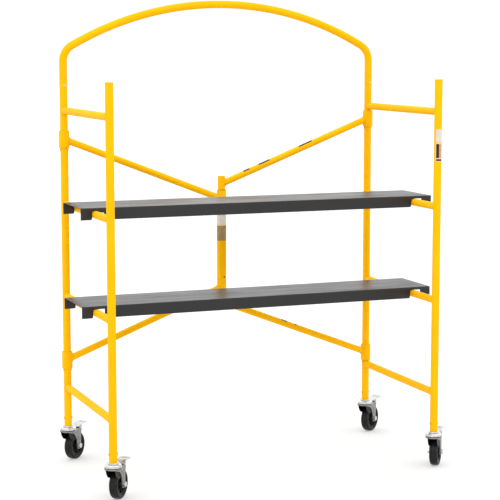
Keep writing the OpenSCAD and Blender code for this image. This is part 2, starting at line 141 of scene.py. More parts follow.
def make_light():
    """A white studio, a little darker towards the floor, with three large soft boxes."""
    world = bpy.data.worlds.new("studio")
    world.use_nodes = True
    nodes, links = world.node_tree.nodes, world.node_tree.links
    nodes.clear()
    direction = nodes.new("ShaderNodeTexCoord")
    split = nodes.new("ShaderNodeSeparateXYZ")
    ramp = nodes.new("ShaderNodeValToRGB")
    ramp.color_ramp.elements[0].position = 0.48
    ramp.color_ramp.elements[0].color = (0.70, 0.70, 0.70, 1)
    ramp.color_ramp.elements[1].position = 0.85
    ramp.color_ramp.elements[1].color = (1, 1, 1, 1)
    half = nodes.new("ShaderNodeMath")
    half.operation = "MULTIPLY_ADD"
    half.inputs[1].default_value = 0.5
    half.inputs[2].default_value = 0.5
    lit, seen = nodes.new("ShaderNodeBackground"), nodes.new("ShaderNodeBackground")
    lit.inputs["Strength"].default_value = 1.75
    seen.inputs["Color"].default_value = (1, 1, 1, 1)
    seen.inputs["Strength"].default_value = 1.05
    path, mix = nodes.new("ShaderNodeLightPath"), nodes.new("ShaderNodeMixShader")
    out = nodes.new("ShaderNodeOutputWorld")
    links.new(direction.outputs["Generated"], split.inputs[0])
    links.new(split.outputs["Z"], half.inputs[0])
    links.new(half.outputs[0], ramp.inputs[0])
    links.new(ramp.outputs[0], lit.inputs["Color"])
    links.new(path.outputs["Is Camera Ray"], mix.inputs[0])
    links.new(lit.outputs[0], mix.inputs[1])
    links.new(seen.outputs[0], mix.inputs[2])
    links.new(mix.outputs[0], out.inputs[0])
    scene.world = world
    scene.view_settings.view_transform = "Standard"
    area_light("key", (-3.2, -3.4, 3.6), (0, 0, 0.8), (2.6, 2.6), 9)
    area_light("fill", (3.6, -2.2, 2.4), (0, 0, 0.8), (2.0, 2.0), 4)
    area_light("back", (1.0, 3.8, 3.0), (0, 0, 0.8), (2.6, 2.0), 10)


# ---------- materials ----------

def new_material(name, base, rough, metal=0.0, specular=0.5):
    """A material with its nodes, links and shader, for the looks below to build on."""
    material = bpy.data.materials.new(name)
    material.use_nodes = True
    shader = material.node_tree.nodes["Principled BSDF"]
    shader.inputs["Base Color"].default_value = (*base, 1)
    shader.inputs["Roughness"].default_value = rough
    shader.inputs["Metallic"].default_value = metal
    shader.inputs["Specular IOR Level"].default_value = specular
    return material, material.node_tree.nodes, material.node_tree.links, shader


def noise_node(nodes, links, scale, detail=3.0, rough=0.5, stretch=None):
    """Noise in the object's own coordinates, so it stays with the piece. Returns its socket."""
    place = nodes.new("ShaderNodeTexCoord")
    source = place.outputs["Object"]
    if stretch:
        mapping = nodes.new("ShaderNodeMapping")
        mapping.inputs["Scale"].default_value = stretch
        links.new(source, mapping.inputs["Vector"])
        source = mapping.outputs["Vector"]
    noise = nodes.new("ShaderNodeTexNoise")
    noise.inputs["Scale"].default_value = scale
    noise.inputs["Detail"].default_value = detail
    noise.inputs["Roughness"].default_value = rough
    links.new(source, noise.inputs["Vector"])
    return noise.outputs["Fac"]


def ramp_node(nodes, links, source, low, high, start=0.3, stop=0.7):
    """Maps a value to a colour between low and high. Returns the colour socket."""
    ramp = nodes.new("ShaderNodeValToRGB")
    ramp.color_ramp.elements[0].position, ramp.color_ramp.elements[1].position = start, stop
    ramp.color_ramp.elements[0].color = (*low, 1)
    ramp.color_ramp.elements[1].color = (*high, 1)
    links.new(source, ramp.inputs[0])
    return ramp.outputs[0]


def range_node(nodes, links, source, low, high, start=0.3, stop=0.7):
    """Maps a value to one between low and high. Returns the value socket."""
    remap = nodes.new("ShaderNodeMapRange")
    remap.inputs["From Min"].default_value, remap.inputs["From Max"].default_value = start, stop
    remap.inputs["To Min"].default_value, remap.inputs["To Max"].default_value = low, high
    links.new(source, remap.inputs["Value"])
    return remap.outputs[0]


def bump_node(nodes, links, source, height, shader, strength=1.0):
    """Raises the surface by a value, up to a height in metres."""
    bump = nodes.new("ShaderNodeBump")
    bump.inputs["Distance"].default_value = height
    bump.inputs["Strength"].default_value = strength
    links.new(source, bump.inputs["Height"])
    links.new(bump.outputs[0], shader.inputs["Normal"])


def mix_color(nodes, links, share, a, b):
    """Mixes two colours, each a socket or a constant. Returns the colour socket."""
    mix = nodes.new("ShaderNodeMix")
    mix.data_type = "RGBA"
    links.new(share, mix.inputs["Factor"])
    for source, socket in ((a, mix.inputs["A"]), (b, mix.inputs["B"])):
        if isinstance(source, tuple):
            socket.default_value = (*source, 1)
        else:
            links.new(source, socket)
    return mix.outputs["Result"]


def yellow_paint():
    """Golden yellow powder coat: orange peel and a slow drift of tone."""
    material, nodes, links, shader = new_material(
        "yellow_powder_coat", (0.88, 0.44, 0.003), 0.5, specular=0.025)
    shade = ramp_node(nodes, links, noise_node(nodes, links, 9, 2),
        (0.865, 0.425, 0.002), (0.90, 0.460, 0.003))
    speck = range_node(nodes, links, noise_node(nodes, links, 900, 2), 0, 0.12, 0.62, 0.75)
    links.new(mix_color(nodes, links, speck, shade, (1.0, 0.55, 0.02)), shader.inputs["Base Color"])
    links.new(range_node(nodes, links, noise_node(nodes, links, 60, 3), 0.42, 0.56),
        shader.inputs["Roughness"])
    bump_node(nodes, links, noise_node(nodes, links, 420, 2, 0.4), 0.00012, shader, 0.35)
    return material


def deck_coat():
    """Black-grey fine texture coat on sheet steel, with faint brush marks and dulled patches."""
    material, nodes, links, shader = new_material(
        "deck_grey_coat", (0.01, 0.01, 0.0105), 0.44, specular=0.4)
    patch = ramp_node(nodes, links, noise_node(nodes, links, 6, 4, 0.6, (0.4, 1.5, 1.5)),
        (0.006, 0.006, 0.0062), (0.011, 0.011, 0.0114))
    grain = range_node(nodes, links, noise_node(nodes, links, 1400, 2), 0, 0.35, 0.55, 0.7)
    links.new(mix_color(nodes, links, grain, patch, (0.03, 0.03, 0.0315)),
        shader.inputs["Base Color"])
    streaks = noise_node(nodes, links, 14, 4, 0.6, (0.3, 2, 2))
    links.new(range_node(nodes, links, streaks, 0.33, 0.48), shader.inputs["Roughness"])
    bump_node(nodes, links, noise_node(nodes, links, 700, 3, 0.6), 0.00015, shader, 0.3)
    return material


def zinc(name, low, high):
    """Zinc plate: metal with a soft spangle and fine scuffs, from one shade to another."""
    material, nodes, links, shader = new_material(name, high, 0.28, 1.0)
    links.new(ramp_node(nodes, links, noise_node(nodes, links, 130, 3), low, high),
        shader.inputs["Base Color"])
    links.new(range_node(nodes, links, noise_node(nodes, links, 260, 4, 0.6), 0.2, 0.42),
        shader.inputs["Roughness"])
    bump_node(nodes, links, noise_node(nodes, links, 500, 3), 0.0001, shader, 0.25)
    return material


def rubber():
    """Black moulded rubber, mottled lighter in its grain: partly dust, partly painted sheen."""
    material, nodes, links, shader = new_material(
        "tyre_rubber", (0.004, 0.004, 0.004), 0.34, specular=0.2)
    # The lighter mottling stands in for the tyre's sheen streaks as well as dust: partly painted
    # sheen.
    links.new(ramp_node(nodes, links, noise_node(nodes, links, 70, 5, 0.7),
        (0.001, 0.001, 0.001), (0.014, 0.014, 0.014)), shader.inputs["Base Color"])
    links.new(range_node(nodes, links, noise_node(nodes, links, 40, 3), 0.30, 0.46),
        shader.inputs["Roughness"])
    bump_node(nodes, links, noise_node(nodes, links, 650, 3), 0.00015, shader, 0.4)
    return material


def hub_plastic():
    """Black moulded nylon, slightly shinier than the tyre."""
    material, nodes, links, shader = new_material(
        "hub_nylon", (0.005, 0.005, 0.0052), 0.35, specular=0.16)
    links.new(ramp_node(nodes, links, noise_node(nodes, links, 50, 2),
        (0.003, 0.003, 0.0032), (0.007, 0.007, 0.0075)), shader.inputs["Base Color"])
    bump_node(nodes, links, noise_node(nodes, links, 380, 2), 0.0001, shader, 0.3)
    return material


def sticker(name, low, high, rough=0.35):
    """A plain printed sticker: a little mottled, with no lettering."""
    material, nodes, links, shader = new_material(name, high, rough, specular=0.15)
    links.new(ramp_node(nodes, links, noise_node(nodes, links, 160, 3), low, high),
        shader.inputs["Base Color"])
    bump_node(nodes, links, noise_node(nodes, links, 120, 2), 0.0001, shader, 0.2)
    return material


# ---------- outlines and meshes ----------

def fillet(points, radius, steps=4, closed=True):
    """Rounds the corners of an outline. A point's third value, if any, is its own radius."""
    out, count = [], len(points)
    for i, point in enumerate(points):
        r = point[2] if len(point) > 2 else radius
        here = Vector(point[:2])
        if not closed and i in (0, count - 1):
            out.append(here)
            continue
        back = Vector(points[i - 1][:2]) - here
        ahead = Vector(points[(i + 1) % count][:2]) - here
        turn = back.angle(ahead)
        if r <= 0 or turn > math.radians(178):
            out.append(here)
            continue
        reach = min(r / math.tan(turn / 2), 0.49 * back.length, 0.49 * ahead.length)
        r = reach * math.tan(turn / 2)
        start, stop = here + back.normalized() * reach, here + ahead.normalized() * reach
        inwards = (back.normalized() + ahead.normalized()).normalized()
        middle = here + inwards * (r / math.sin(turn / 2))
        a, b = start - middle, stop - middle
        sweep = a.angle_signed(b)
        for k in range(steps + 1):
            angle = -sweep * k / steps
            out.append(middle + Matrix.Rotation(angle, 2) @ a)
    return out


def piece(name, body, material, verts, faces, replaces=(), sharp=35):
    """A mesh object that rides on a body, with outward normals and sharp edges where it turns."""
    mesh = bpy.data.meshes.new(name)
    mesh.from_pydata([tuple(v) for v in verts], [], faces)
    bm = bmesh.new()
    bm.from_mesh(mesh)
    bmesh.ops.remove_doubles(bm, verts=bm.verts, dist=1e-6)
    bmesh.ops.dissolve_degenerate(bm, edges=bm.edges, dist=1e-7)
    bmesh.ops.recalc_face_normals(bm, faces=bm.faces)
    bm.to_mesh(mesh)
    bm.free()
    mesh.polygons.foreach_set("use_smooth", [True] * len(mesh.polygons))
    mesh.set_sharp_from_angle(angle=math.radians(sharp))
    mesh.materials.append(material)
    obj = bpy.data.objects.new(name, mesh)
    scene.collection.objects.link(obj)
    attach(obj, body)
    if replaces:
        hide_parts(*replaces)
    return obj


class Build:
    """Gathers the vertices and faces of one piece."""

    def __init__(self):
        self.verts, self.faces = [], []

    def add(self, verts, faces, place=None):
        """Adds vertices, moved by place, and the faces between them."""
        start = len(self.verts)
        self.verts += [place @ Vector(v) for v in verts] if place else [Vector(v) for v in verts]
        self.faces += [tuple(start + i for i in f) for f in faces]

    def grid(self, rows, wrap_rows=False, wrap_cols=False, place=None):
        """Quads between neighbouring rows of equal length."""
        count, width = len(rows), len(rows[0])
        faces = []
        for i in range(count if wrap_rows else count - 1):
            for j in range(width if wrap_cols else width - 1):
                a, b = i * width, (i + 1) % count * width
                faces.append((a + j, a + (j + 1) % width, b + (j + 1) % width, b + j))
        self.add([v for row in rows for v in row], faces, place)

    def lathe(self, outline, place=None, segments=64, closed=True):
        """Turns an outline of (radius, height) round +Z."""
        rows = []
        for k in range(segments):
            angle = 2 * math.pi * k / segments
            rows.append([(r * math.cos(angle), r * math.sin(angle), z) for r, z in outline])
        self.grid(rows, wrap_rows=True, wrap_cols=closed, place=place)

    def plate(self, outline, low, high, place=None, round_by=0.0):
        """A flat plate: an outline in x and y between two heights, with rounded rims."""
        steps = 3 if round_by else 0
        rows = []
        for k in range(steps + 1):
            a = math.pi / 2 * k / max(steps, 1)
            inset = round_by * (1 - math.sin(a))
            z = low + round_by * (1 - math.cos(a))
            rows.append([(x, y, z) for x, y in inset_outline(outline, inset)])
        for k in range(steps + 1):
            a = math.pi / 2 * (1 - k / max(steps, 1))
            inset = round_by * (1 - math.sin(a))
            z = high - round_by * (1 - math.cos(a))
            rows.append([(x, y, z) for x, y in inset_outline(outline, inset)])
        width = len(outline)
        self.grid(rows, wrap_cols=True, place=place)
        self.add(rows[0], [tuple(range(width))], place)
        self.add(rows[-1], [tuple(range(width))], place)

    def sweep(self, path, radius, sides=12, closed=False, place=None, caps=True):
        """A round bar along a path. radius is a number or a function of the point's index."""
        size = radius if callable(radius) else (lambda i: radius)
        count = len(path)
        rows, across = [], None
        for i, point in enumerate(path):
            point = Vector(point)
            before = Vector(path[i - 1]) if i or closed else point
            after = Vector(path[(i + 1) % count]) if i < count - 1 or closed else point
            along = (after - before).normalized()
            across = along.orthogonal() if across is None else across - along * across.dot(along)
            across.normalize()
            up = along.cross(across)
            rows.append([point + size(i) * (across * math.cos(a) + up * math.sin(a))
                for a in (2 * math.pi * k / sides for k in range(sides))])
        self.grid(rows, wrap_rows=closed, wrap_cols=True, place=place)
        if caps and not closed:
            for row in (rows[0], rows[-1]):
                self.add(row, [tuple(range(sides))], place)

    def done(self, name, body, material, replaces=(), sharp=35):
        """Makes the piece from what was gathered."""
        return piece(name, body, material, self.verts, self.faces, replaces, sharp)


def inset_outline(outline, distance):
    """An outline moved inwards, point by point. It runs counter-clockwise."""
    if distance == 0:
        return [tuple(p) for p in outline]
    out, count = [], len(outline)
    for i in range(count):
        here = Vector(outline[i])
        before = (here - Vector(outline[i - 1])).normalized()
        after = (Vector(outline[(i + 1) % count]) - here).normalized()
        tangent = (before + after).normalized()
        out.append(tuple(here + Vector((-tangent.y, tangent.x)) * distance))
    return out


def mirrored(half):
    """A closed outline of (radius, height) from its upper half, whose points run outwards."""
    return [(r, -z, *more) for r, z, *more in half] + half[::-1]


def circle(radius, z, count):
    """Points round +Z, at one height."""
    angles = (2 * math.pi * k / count for k in range(count))
    return [(radius * math.cos(a), radius * math.sin(a), z) for a in angles]


def ring_outline(outer, inner, low, high, rim=0.5 * MM):
    """The cross-section of a tube standing on +Z, with rounded rims."""
    return fillet([(inner, low), (outer, low), (outer, high), (inner, high)], rim, 3)


# ---------- end frames and brace ----------

WELD_R = 2.1 * MM
WELD_RIPPLES = 30  # round one bead


def weld(build, start, along, tube_r, axis, target_r):
    """A rippled bead where a round tube runs into an upright one, which stands at axis (x, y)."""
    along = Vector(along).normalized()
    across = Vector((0, 0, 1)).cross(along).normalized()
    up = along.cross(across)
    count = 132
    path = []
    for k in range(count):
        angle = 2 * math.pi * k / count
        out = across * math.cos(angle) + up * math.sin(angle)
        p = Vector(start) + out * tube_r
        px, py = p.x - axis[0], p.y - axis[1]
        a = along.x**2 + along.y**2
        b = px * along.x + py * along.y
        c = px * px + py * py - target_r**2
        reach = (-b - math.sqrt(max(b * b - a * c, 0))) / a
        path.append(p + along * (reach - 0.35 * WELD_R) + out * 0.25 * WELD_R)
    build.sweep(path,
        lambda i: WELD_R * (1 + 0.14 * math.sin(i * 2 * math.pi * WELD_RIPPLES / count)), 10,
        closed=True)


def upright_tube(node, body, bore, material, rim=0.6 * MM):
    """Replaces an upright tube or collar with one that has rounded rims and a true bore."""
    low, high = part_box(node)
    middle = (low + high) / 2
    build = Build()
    build.lathe(ring_outline(tube_radius(node), bore, low.z, high.z, rim),
        Matrix.Translation((middle.x, middle.y, 0)), 72)
    build.done(node + "_shell", body, material, (node,))


def front_post(node, body, material):
    """A front post: open tube with its top reamed a little wider."""
    low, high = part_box(node)
    middle = (low + high) / 2
    outer = (high.x - low.x) / 2
    inner, step = outer - TUBE_WALL, high.z - SOCKET_LEN
    rim = 0.5 * MM
    outline = fillet([(inner, low.z), (outer, low.z), (outer, high.z), (SOCKET_R, high.z),
        (SOCKET_R, step), (inner, step)], rim, 3)
    build = Build()
    build.lathe(outline, Matrix.Translation((middle.x, middle.y, 0)), 72)
    build.done(node + "_tube", body, material, (node,))


def frame_welds(side, body, material):
    """The beads at both ends of the four rungs of one end frame."""
    build = Build()
    front, back = centre(f"post_front_{side}"), centre(f"post_back_{side}")
    post_r = tube_radius(f"post_front_{side}")
    for level in RUNGS:
        node = f"rung_{side}_{level}"
        low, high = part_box(node)
        middle, rung_r = (low + high) / 2, (high.z - low.z) / 2
        weld(build, middle, (0, -1, 0), rung_r, (front.x, front.y), post_r)
        weld(build, middle, (0, 1, 0), rung_r, (back.x, back.y), post_r)
    build.done(f"weld_beads_{side}_frame", body, material, sharp=60)


def brace_welds(side, hub_node, body, material):
    """The beads at both ends of the two diagonals of one half of the brace."""
    build = Build()
    hub, hub_r = centre(hub_node), tube_radius(hub_node)
    for level in ("upper", "lower"):
        collar = centre(f"collar_{side}_{level}")
        collar_r = tube_radius(f"collar_{side}_{level}")
        drop = -BRACE_RISE if level == "upper" else BRACE_RISE
        meet = Vector((hub.x, hub.y, collar.z + drop))
        middle = (collar + meet) / 2
        weld(build, middle, collar - middle, BRACE_R, (collar.x, collar.y), collar_r)
        weld(build, middle, meet - middle, BRACE_R, (hub.x, hub.y), hub_r)
    build.done(f"weld_beads_brace_{side}", body, material, sharp=60)


# ---------- guardrail ----------

def guardrail(material):
    """One bent tube: two straight legs, two tight corners and a long arch."""
    low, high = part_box("guardrail")
    y = (low.y + high.y) / 2
    left, right = centre("post_back_left").x, centre("post_back_right").x
    middle, half = (left + right) / 2, (right - left) / 2
    corner_z = low.z + LEG_LEN
    arch_turn = math.asin((half - CORNER_R) / (ARCH_R - CORNER_R))
    arch_z = corner_z - (ARCH_R - CORNER_R) * math.cos(arch_turn)
    tube_r = (high.y - low.y) / 2

    def arc(cx, cz, r, start, stop, steps):
        """Points of an arc in the guardrail's upright plane."""
        angles = (start + (stop - start) * k / steps for k in range(steps + 1))
        return [(cx + r * math.cos(a), y, cz + r * math.sin(a)) for a in angles]

    rim = [low.z + 0.2 * MM, low.z + 0.45 * MM, low.z + 0.9 * MM]
    rims = [0.972, 0.992, 1]
    path = [(left, y, z) for z in rim]
    path += arc(middle - half + CORNER_R, corner_z, CORNER_R, math.pi, math.pi / 2 + arch_turn, 20)
    path += arc(middle, arch_z, ARCH_R, math.pi / 2 + arch_turn, math.pi / 2 - arch_turn, 90)[1:]
    path += arc(middle + half - CORNER_R, corner_z, CORNER_R, math.pi / 2 - arch_turn, 0, 20)[1:]
    path += [(right, y, z) for z in reversed(rim)]
    sizes = rims + [1] * (len(path) - 6) + rims[::-1]
    build = Build()
    build.sweep(path, lambda i: tube_r * sizes[i], 48)
    build.done("guardrail_tube", "rail", material, ("guardrail",))


# ---------- decks ----------

def deck(node, body, material):
    """A folded sheet: flat top, two flanges with round folds, and a notch over each rung."""
    low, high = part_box(node)
    bend = 3.2 * MM
    half_bay = (centre("post_front_right").x - centre("post_front_left").x) / 2
    middle = (low.x + high.x) / 2
    edges = [middle + side * half_bay + way * NOTCH_W / 2 for side in (-1, 1) for way in (-1, 1)]
    between = [edges[1] + (edges[2] - edges[1]) * k / 8 for k in range(1, 8)]
    stops = [low.x, *edges[:2], *between, *edges[2:], high.x]
    count = len(stops)
    gaps = {1, count - 3}
    ways = {1: -1, 2: 1, count - 3: -1, count - 2: 1}  # which way each edge of a notch flares
    strip, mouth = high.z - SEAT_STRIP, low.z + NOTCH_LEAD
    fold = [(low.y + bend - bend * math.cos(a), high.z - bend + bend * math.sin(a))
        for a in (math.pi / 2 * k / 5 for k in range(6))]
    hold = 0.5 * MM  # keeps the flats flat beside a fold
    top = [(low.y + bend + (high.y - low.y - 2 * bend) * k / 8, high.z) for k in range(1, 8)]
    half_rows = [(low.y, low.z), (low.y, mouth), (low.y, strip), (low.y, fold[0][1] - hold), *fold,
        (fold[-1][0] + hold, high.z)]
    rows = half_rows + top + [(low.y + high.y - y, z) for y, z in reversed(half_rows)]
    last = len(rows) - 1
    bm = bmesh.new()
    grid = []
    for i, (y, z) in enumerate(rows):
        lead = NOTCH_LEAD if i in (0, last) else 0
        line = []
        for j, x in enumerate(stops):
            line.append(bm.verts.new((x + ways.get(j, 0) * lead, y, z)))
        grid.append(line)
    for i in range(last):
        in_flange = i < 2 or i > last - 3
        for j in range(count - 1):
            if in_flange and j in gaps:
                continue
            bm.faces.new((grid[i][j], grid[i][j + 1], grid[i + 1][j + 1], grid[i + 1][j]))
    bmesh.ops.delete(bm, geom=[v for v in bm.verts if not v.link_faces], context="VERTS")
    bmesh.ops.recalc_face_normals(bm, faces=bm.faces)
    mesh = bpy.data.meshes.new(node)
    bm.to_mesh(mesh)
    bm.free()
    up = mesh.polygons[len(mesh.polygons) // 2].normal.z
    obj = bpy.data.objects.new(node + "_sheet", mesh)
    scene.collection.objects.link(obj)
    solid = obj.modifiers.new("sheet", "SOLIDIFY")
    solid.thickness, solid.offset, solid.use_even_offset = DECK_SHEET, -1 if up > 0 else 1, True
    bevel = obj.modifiers.new("edge", "BEVEL")
    bevel.width, bevel.segments, bevel.limit_method = 0.45 * MM, 2, "ANGLE"
    bevel.angle_limit = math.radians(40)
    bpy.context.view_layer.update()
    graph = bpy.context.evaluated_depsgraph_get()
    baked = bpy.data.meshes.new_from_object(obj.evaluated_get(graph))
    obj.modifiers.clear()
    obj.data = baked
    baked.polygons.foreach_set("use_smooth", [True] * len(baked.polygons))
    baked.set_sharp_from_angle(angle=math.radians(35))
    baked.materials.clear()
    baked.materials.append(material)
    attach(obj, body)
    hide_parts(node)


# ---------- stickers ----------

def wrap(name, body, material, place, radius, turns, span_z, lift, corner=2 * MM):
    """A thin sticker bent round a tube whose axis is +Z in the frame that place moves.

    turns holds the angle of its middle and half the angle that it covers, and span_z its two ends.
    """
    (middle_turn, half_turn), (low, high) = turns, span_z
    steps, rows_up = 24, 26
    build = Build()
    skins = []
    for r in (radius + lift, radius + lift - 0.2 * MM):
        rows = []
        for i in range(rows_up + 1):
            z = low + (high - low) * i / rows_up
            end = min(z - low, high - z)
            cut = corner - math.sqrt(max(corner**2 - (corner - min(end, corner)) ** 2, 0))
            span = half_turn - cut / radius
            angles = [middle_turn + span * (2 * k / steps - 1) for k in range(steps + 1)]
            rows.append([(r * math.cos(a), r * math.sin(a), z) for a in angles])
        skins.append(rows)
    outer, inner = skins
    build.grid(outer, place=place)
    build.grid(inner, place=place)
    for row in (0, -1):
        build.grid([outer[row], inner[row]], place=place)
    for col in (0, -1):
        build.grid([[r[col] for r in outer], [r[col] for r in inner]], place=place)
    build.done(name, body, material)


def stickers(cream, brown, field, tan, dark):
    """Blank stickers with plain colour fields, on the front right post and on the centre sleeve."""
    front = -math.pi / 2
    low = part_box("post_front_right")[0]
    post, sleeve = centre("post_front_right"), centre("brace_sleeve")
    at_post = Matrix.Translation((post.x, post.y, low.z))
    # Look, angle of the middle from the front, half angle, bottom, top, lift and corner
    for part, look, turn, half, bottom, top, lift, corner in (
            ("upper", cream, 0, 0.98, 1126, 1175, 0.25, 2),
            ("lower", cream, 0, 0.98, 1053, 1122, 0.25, 2),
            ("dark", brown, -0.53, 0.37, 1066, 1120, 0.4, 1),
            ("field", field, 0.24, 0.40, 1066, 1120, 0.4, 1),
            ("bar", brown, -0.14, 0.76, 1055, 1062, 0.4, 1)):
        wrap(f"post_sticker_{part}", "right_frame", look, at_post, tube_radius("post_front_right"),
            (front + turn, half), (bottom * MM, top * MM), lift * MM, corner * MM)
    at_sleeve = Matrix.Translation((sleeve.x, sleeve.y, 0))
    for part, look, bottom, top in (("upper", cream, 916, 962), ("lower", tan, 854, 914.6)):
        wrap(f"sleeve_sticker_{part}", "brace_left", look, at_sleeve, tube_radius("brace_sleeve"),
            (front - 0.3, 1.55), (bottom * MM, top * MM), 0.25 * MM)
    for level, drop, spans in (("upper", -BRACE_RISE, ((97, 124), (163, 211), (340, 398))),
            ("lower", BRACE_RISE, ((257, 284), (316, 326)))):
        collar = centre(f"collar_right_{level}")
        start = Vector((sleeve.x, sleeve.y, collar.z + drop))
        along = (collar - start).normalized()
        out = (Vector((0, -0.35, 1)) - along * along.z).normalized()
        side = along.cross(out)
        place = Matrix.Translation(start) @ Matrix((out, side, along)).transposed().to_4x4()
        for i, (x0, x1) in enumerate(spans):
            wrap(f"brace_strip_{level}_{i + 1}", "brace_right", dark, place, BRACE_R, (0, 0.42),
                (x0 * MM / along.x, x1 * MM / along.x), 0.25 * MM, 1 * MM)


def sleeve_plug(plastic):
    """A small domed black plug in the face of the sleeve, below its stickers."""
    sleeve, radius = centre("brace_sleeve"), tube_radius("brace_sleeve")
    out = Matrix.Rotation(PLUG_TURN, 4, "Z") @ Matrix.Rotation(math.pi / 2, 4, "Y")
    place = Matrix.Translation((sleeve.x, sleeve.y, PLUG_Z)) @ out
    dome = mm([(0, -0.6), (3.4, -0.6, 0.1), (3.4, 0.5, 0.5), (2.2, 1.5, 1.5), (0, 1.8)])
    build = Build()
    build.lathe(fillet(dome, 0.1 * MM, 3, closed=False),
        place @ Matrix.Translation((0, 0, radius)), 32, closed=False)
    build.done("sleeve_plug", "brace_left", plastic)


# ---------- casters ----------

def caster_place(end):
    """The caster's own frame: origin on the floor under its swivel axis, +X along its trail."""
    swivel, hub = centre(f"caster_stem_{end}"), centre(f"caster_hub_{end}")
    turn = math.atan2(hub.y - swivel.y, hub.x - swivel.x)
    return Matrix.Translation((swivel.x, swivel.y, 0)) @ Matrix.Rotation(turn, 4, "Z")


def across_trail(place, x, z):
    """A frame on a caster whose +Z runs along an axle or a pin."""
    return place @ Matrix.Translation((x, 0, z)) @ Matrix.Rotation(math.pi / 2, 4, "X")


def mm(points):
    """Millimetres to metres. A third value is a corner's radius, in millimetres too."""
    return [tuple(v * MM for v in p) for p in points]


def side_plate(build, outline, y0, y1, place, rim):
    """A plate whose outline lies in x and z, between two values of y."""
    turn = Matrix.Rotation(math.pi / 2, 4, "X")
    build.plate(outline, -y1, -y0, place @ turn, rim)


def caster_head(end, place, body, steel):
    """Riveted kingpin, ball cup, flange and stem, from the bottom up, in one turned shape."""
    build = Build()
    kingpin = [(0, 115.4), (7.5, 115.4, 2), (10, 117, 1), (10, 119.7, 0.3), (5.5, 119.7),
        (5.5, 133)]
    cup = [(28.5, 133, 0.8), (28.5, 128, 0.4), (28.6, 127.6, 0.3), (31, 127.6, 0.8), (31, 136, 2.4),
        (28, 139, 2), (22, 139.4, 1), (19.6, 140.6, 0.6), (19.6, 142, 0.3)]
    flange = [(21, 142.6, 0.5), (21, 146, 0.9)]
    stem = [(12.7, 146), (12.7, 213, 1), (9.7, 216, 1), (0, 216)]
    outline = fillet(mm(kingpin + cup + flange + stem), 0.4 * MM, 3, closed=False)
    build.lathe(outline, place, 96, closed=False)
    build.done(f"caster_head_{end}", body, steel, (f"caster_stem_{end}",))


# A fork's leg, in x and z, with each corner's radius
LEG = mm([(-26, 120.5, 2), (-26, 125, 2), (50, 125.4, 3), (56, 135, 6), (66, 131, 7), (63, 118, 14),
    (58.5, 92, 40), (58, 42, 12.9), (32, 42, 12.9), (31, 80, 34), (14, 110, 40)])
# The middle of a leg's raised rib, in x and z, with the rib's radius there
LEG_RIB = mm([(44, 70, 0.7), (43.4, 78, 1.4), (41.5, 88, 1.7), (38, 97, 1.8), (32.5, 105, 1.7),
    (25.5, 111, 1.4), (17, 115, 0.7)])


def caster_fork(end, place, body, steel):
    """A pressed fork: a round crown with a rolled rim, and two legs with raised ribs."""
    build = Build()
    crown = mm([(5.8, 120), (31, 120, 1.5), (33, 121.5, 1.5), (33, 125, 1.6), (30, 126, 1),
        (27.8, 126, 0.5), (26.6, 125, 0.8), (24, 124.2, 1), (21.4, 125, 0.8), (20.2, 126, 0.5),
        (5.8, 126)])
    washer = mm([(5.2, 0), (11, 0, 0.3), (11, 1.2, 0.6), (5.2, 1.2)])
    build.lathe(fillet(crown, 0.3 * MM, 3), place, 96)
    build.plate(fillet(mm([(0, -21), (41, -21), (41, 21), (0, 21)]), 4 * MM),
        120 * MM, 124.6 * MM, place, 1 * MM)
    outline = fillet(LEG, 2 * MM, 6)
    for side in (-1, 1):
        y0, y1 = (side * 20.6 - 1.4) * MM, (side * 20.6 + 1.4) * MM
        side_plate(build, outline, y0, y1, place, 0.7 * MM)
        face = side * 21.8 * MM
        build.sweep([(x, face, z) for x, z, _ in LEG_RIB], lambda i: LEG_RIB[i][2], 10, place=place)
        seat = place @ Matrix.Translation((TRAIL, side * 21.9 * MM, AXLE_Z))
        build.lathe(fillet(washer, 0.2 * MM, 2),
            seat @ Matrix.Rotation(-side * math.pi / 2, 4, "X"), 40)
    build.done(f"caster_fork_pressed_{end}", body, steel, (f"caster_fork_{end}",))


def caster_shade_sheets(end, place, body, plastic):
    """Two thin black sheets between the wheel and the fork's legs, wide at the crown: painted shade
    on the legs' inner faces.
    """
    build = Build()
    # Outline of one sheet: painted shade over the upper part of a leg's inner face, out to the
    # front of the crown.
    guard = mm([(44, 119.6, 2), (40, 83, 8), (12, 83, 10), (-9, 91, 12), (-20, 103, 30),
        (-27, 119.6, 2)])
    outline = fillet(guard, 2 * MM, 5)
    for side in (-1, 1):
        y0, y1 = sorted((side * 17.3 * MM, side * 18.6 * MM))
        side_plate(build, outline, y0, y1, place, 0.4 * MM)
    build.done(f"wheel_shade_sheets_{end}", body, plastic)


def hexagon(build, radius, low, high, place, bore=0.0):
    """A hexagon nut or head with turned corners, along +Z."""
    count = 72
    rows = []
    for z, share in ((low, 0.80), (low, 0.93), (low + 0.7 * MM, 1), (high - 1.0 * MM, 1),
            (high, 0.90), (high, 0.60)):
        row = []
        for k in range(count):
            angle = 2 * math.pi * k / count
            fold = (angle % (math.pi / 3)) - math.pi / 6
            flat = radius * math.cos(math.pi / 6) / math.cos(fold)
            r = min(flat, radius * share)
            row.append((r * math.cos(angle), r * math.sin(angle), z))
        rows.append(row)
    if bore:
        rows += [circle(bore, high - 0.6 * MM, count), circle(bore, low, count)]
        build.grid(rows, wrap_rows=True, wrap_cols=True, place=place)
        return
    build.grid(rows, wrap_cols=True, place=place)
    for row in (rows[0], rows[-1]):
        build.add(row, [tuple(range(count))], place)


